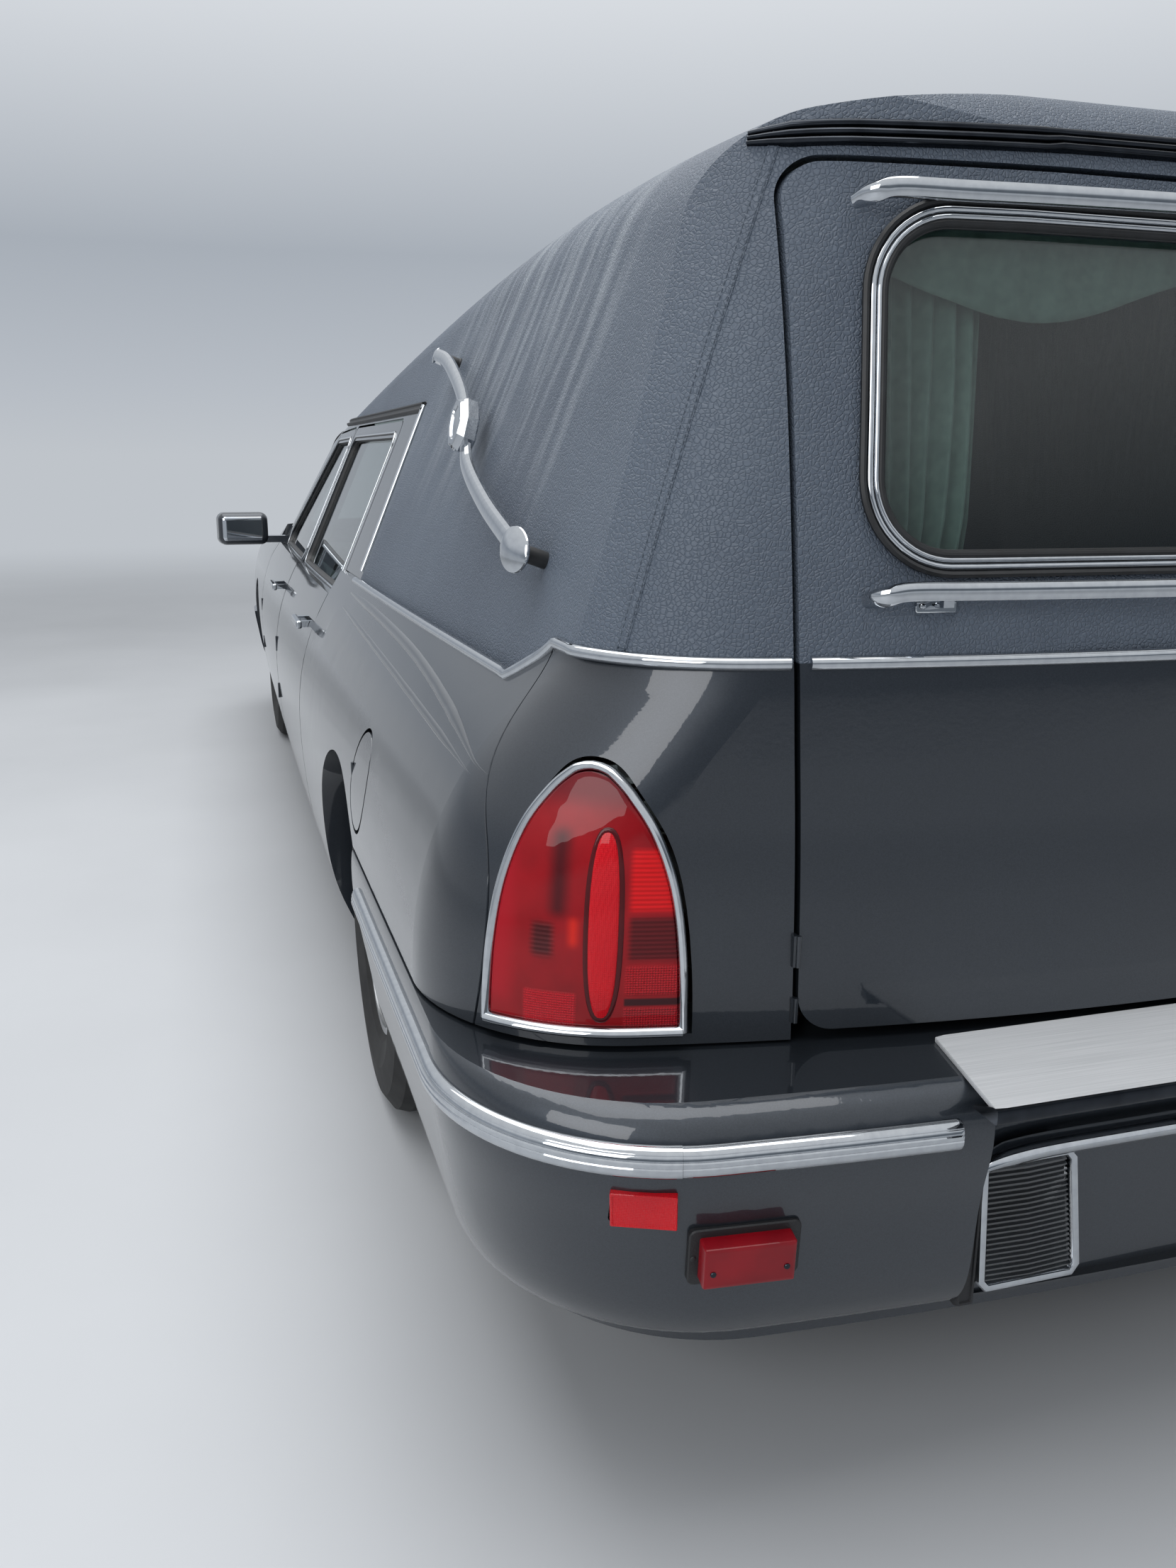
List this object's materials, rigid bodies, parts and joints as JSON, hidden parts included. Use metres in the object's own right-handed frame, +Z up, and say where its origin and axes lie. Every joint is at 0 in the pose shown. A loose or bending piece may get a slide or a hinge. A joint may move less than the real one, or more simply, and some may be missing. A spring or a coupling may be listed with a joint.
{
  "type": "hearse",
  "caption": "Hearse with a raised vinyl-covered roof over a load deck, side doors that open, a side-hung load door at the rear, steered front wheels and turning wheels.",
  "frame": {"origin": "on the ground under the middle of the overall length, on the centre line", "axes": "+X forward, +Y to the car's left, +Z up"},
  "size_m": [6.2983, 2.2916, 1.7932],
  "materials": {
    "paint": "dark metallic gloss",
    "vinyl": "grained padded vinyl",
    "glass": "tinted",
    "red_lens": "clear red",
    "chrome": "polished",
    "bright_metal": "bright ribbed",
    "dark_steel": "black coated",
    "engine_alloy": "as cast",
    "bare_steel": "dull",
    "deck": "lacquered",
    "black_plastic": "matt",
    "seat_cloth": "woven",
    "tyre": "matt",
    "alloy": "satin"
  },
  "bodies": {
    "body": {"body_frame": "paint", "quarter_panels": "paint", "vinyl_roof": "vinyl", "windscreen": "glass", "wings": "paint", "nose_panel": "paint", "cowl_panel": "paint", "bulkhead": "paint", "front_bumper": "paint", "rear_bumper": "paint", "step_plate": "bright_metal", "grille": "chrome", "headlamps": "glass", "tail_lamps": "red_lens", "bumper_lamps": "red_lens", "floor_pan": "dark_steel", "load_deck": "deck", "chassis_frame": "dark_steel", "rear_axle": "dark_steel", "propeller_shaft": "dark_steel", "engine_block": "engine_alloy", "front_arms": "dark_steel", "wheel_liners": "black_plastic", "exhaust": "bare_steel", "dashboard": "black_plastic", "front_seats": "seat_cloth", "mouldings": "chrome", "landau_irons": "chrome"},
    "hood": {"hood": "paint"},
    "front_door_left": {"door_front_left": "paint", "glass_front_left": "glass"},
    "front_door_right": {"door_front_right": "paint", "glass_front_right": "glass"},
    "rear_door_left": {"door_rear_left": "paint", "glass_rear_left": "glass"},
    "rear_door_right": {"door_rear_right": "paint", "glass_rear_right": "glass"},
    "load_door": {"load_door": "paint", "load_door_vinyl": "vinyl", "load_door_glass": "glass", "load_door_trim": "chrome"},
    "fuel_flap": {"fuel_flap": "paint"},
    "knuckle_left": {"knuckle_left": "dark_steel"},
    "knuckle_right": {"knuckle_right": "dark_steel"},
    "wheel_front_left": {"tyre_front_left": "tyre", "wheel_front_left": "alloy"},
    "wheel_front_right": {"tyre_front_right": "tyre", "wheel_front_right": "alloy"},
    "wheel_rear_left": {"tyre_rear_left": "tyre", "wheel_rear_left": "alloy"},
    "wheel_rear_right": {"tyre_rear_right": "tyre", "wheel_rear_right": "alloy"},
    "steering_wheel": {"steering_wheel": "black_plastic"}
  },
  "joints": [
    {"name": "hood_hinge", "type": "hinge", "parent": "body", "child": "hood", "pos_m": [1.5905, 0, 1.038], "axis": [0, -1, 0], "range_deg": [0, 50]},
    {"name": "front_door_left_hinge", "type": "hinge", "parent": "body", "child": "front_door_left", "pos_m": [1.3915, 0.974, 0.635], "axis": [0, 0, -1], "range_deg": [0, 65]},
    {"name": "rear_door_left_hinge", "type": "hinge", "parent": "body", "child": "rear_door_left", "pos_m": [0.1625, 0.99, 0.635], "axis": [0, 0, -1], "range_deg": [0, 65]},
    {"name": "front_door_right_hinge", "type": "hinge", "parent": "body", "child": "front_door_right", "pos_m": [1.3915, -0.974, 0.635], "axis": [0, 0, 1], "range_deg": [0, 65]},
    {"name": "rear_door_right_hinge", "type": "hinge", "parent": "body", "child": "rear_door_right", "pos_m": [0.1625, -0.99, 0.635], "axis": [0, 0, 1], "range_deg": [0, 65]},
    {"name": "load_door_hinge", "type": "hinge", "parent": "body", "child": "load_door", "pos_m": [-2.966, 0.5695, 0.724], "axis": [0, 0, -1], "range_deg": [0, 105]},
    {"name": "fuel_flap_hinge", "type": "hinge", "parent": "body", "child": "fuel_flap", "pos_m": [-1.9675, 0.982, 0.775], "axis": [0, 0, -1], "range_deg": [0, 80]},
    {"name": "steer_left", "type": "hinge", "parent": "body", "child": "knuckle_left", "pos_m": [2.09, 0.69, 0.36], "axis": [0, 0, 1], "range_deg": [-33, 33]},
    {"name": "steer_right", "type": "hinge", "parent": "body", "child": "knuckle_right", "pos_m": [2.09, -0.69, 0.36], "axis": [0, 0, 1], "range_deg": [-33, 33]},
    {"name": "wheel_front_left_spin", "type": "hinge", "parent": "knuckle_left", "child": "wheel_front_left", "pos_m": [2.09, 0.8, 0.36], "axis": [0, 1, 0], "continuous": true},
    {"name": "wheel_front_right_spin", "type": "hinge", "parent": "knuckle_right", "child": "wheel_front_right", "pos_m": [2.09, -0.8, 0.36], "axis": [0, 1, 0], "continuous": true},
    {"name": "wheel_rear_left_spin", "type": "hinge", "parent": "body", "child": "wheel_rear_left", "pos_m": [-1.745, 0.826, 0.36], "axis": [0, 1, 0], "continuous": true},
    {"name": "wheel_rear_right_spin", "type": "hinge", "parent": "body", "child": "wheel_rear_right", "pos_m": [-1.745, -0.826, 0.36], "axis": [0, 1, 0], "continuous": true},
    {"name": "steering_wheel_turn", "type": "hinge", "parent": "body", "child": "steering_wheel", "pos_m": [0.905, 0.38, 0.87], "axis": [-0.9135, 0, 0.4067], "range_deg": [-500, 500]}
  ],
  "couplings": [
    {"joint": "steer_right", "follows": "steer_left", "ratio": 1},
    {"joint": "steering_wheel_turn", "follows": "steer_left", "ratio": 15}
  ]
}
